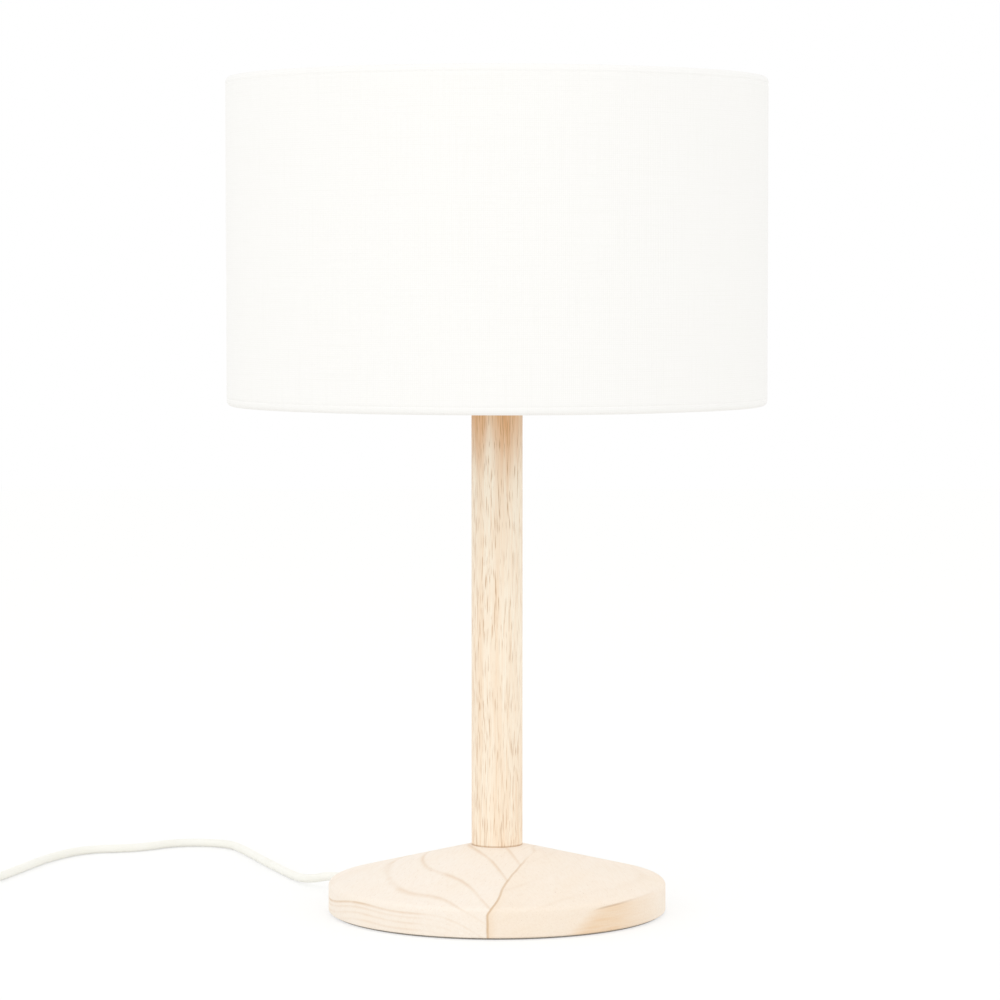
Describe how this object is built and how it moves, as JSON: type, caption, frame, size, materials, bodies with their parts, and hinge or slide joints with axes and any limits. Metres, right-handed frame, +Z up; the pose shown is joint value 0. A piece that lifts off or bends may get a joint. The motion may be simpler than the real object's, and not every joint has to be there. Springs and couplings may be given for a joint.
{
  "type": "table lamp",
  "caption": "Table lamp with a shallow turned wooden base, a round wooden column, a white fabric drum shade, a screw-in bulb and a mains lead with switch and plug.",
  "frame": {"origin": "on the floor, at the centre of the base pad's underside", "axes": "+Z up along the column; the lead leaves the base at the back left and runs off to -X"},
  "size_m": [0.5663, 0.3819, 0.465],
  "materials": {
    "pad": "dark needle felt",
    "base_wood": "pale rubberwood, turned and waxed",
    "column_wood": "pale rubberwood dowel, waxed",
    "zinc_steel": "zinc plated",
    "white_wire": "white powder coat",
    "white_plastic": "moulded white thermoplastic",
    "black_plastic": "moulded black",
    "brass": "bare brass strip",
    "brown_wire": "wire insulation",
    "blue_wire": "wire insulation",
    "lead_pvc": "smooth ivory sheath",
    "ivory_plastic": "moulded ivory plastic",
    "shade_linen": "white plain weave",
    "liner_styrene": "translucent white sheet",
    "opal": "opal diffuser",
    "nickel": "nickel plated",
    "board": "white coated aluminium board",
    "phosphor": "phosphor",
    "green_board": "solder resist"
  },
  "bodies": {
    "stand": {"base_pad": "pad", "turned_base": "base_wood", "column": "column_wood", "threaded_tube": "zinc_steel", "base_washer": "zinc_steel", "base_nut": "zinc_steel", "top_washer": "zinc_steel", "top_nut": "zinc_steel", "cord_bush": "ivory_plastic", "inner_cord": "lead_pvc", "lampholder_cap": "white_plastic", "cap_lock_screw": "zinc_steel", "terminal_block": "white_plastic", "centre_contact": "brass", "side_contact": "brass", "terminal_screw_1": "zinc_steel", "terminal_screw_2": "zinc_steel", "live_wire": "brown_wire", "neutral_wire": "blue_wire", "lampholder_skirt": "white_plastic", "cord_lead": "lead_pvc", "cord_link": "lead_pvc", "cord_coil": "lead_pvc", "cord_tail": "lead_pvc", "cord_tie": "black_plastic", "switch_base": "ivory_plastic", "switch_cover": "ivory_plastic", "rocker_pin": "zinc_steel", "switch_screw_1": "zinc_steel", "switch_screw_2": "zinc_steel", "switch_contact_1": "brass", "switch_contact_2": "brass", "plug_body": "ivory_plastic", "plug_pin_1": "nickel", "plug_pin_2": "nickel"},
    "shade": {"shade_frame": "white_wire", "shade_top_ring": "white_wire", "shade_liner": "liner_styrene", "shade_fabric": "shade_linen"},
    "ring": {"shade_ring": "white_plastic"},
    "bulb": {"bulb_contact": "brass", "bulb_cap_insulator": "black_plastic", "bulb_cap": "nickel", "bulb_body": "white_plastic", "bulb_led_board": "board", "bulb_emitter": "phosphor", "bulb_driver_board": "green_board", "bulb_globe": "opal"},
    "rocker": {"switch_rocker": "ivory_plastic"}
  },
  "joints": [
    {"name": "shade_turn", "type": "hinge", "parent": "stand", "child": "shade", "pos_m": [0, 0, 0.321], "axis": [0, 0, 1], "continuous": true},
    {"name": "shade_ring_turn", "type": "hinge", "parent": "stand", "child": "ring", "pos_m": [0, 0, 0.323], "axis": [0, 0, 1], "range_deg": [0, 720]},
    {"name": "bulb_out", "type": "slide", "parent": "stand", "child": "bulb", "axis": [0, 0, 1], "range_m": [0, 0.15]},
    {"name": "switch_press", "type": "hinge", "parent": "stand", "child": "rocker", "pos_m": [-0.31687, 0.02134, 0.011], "axis": [-0.9553, 0.2957, 0], "range_deg": [0, 22]}
  ]
}
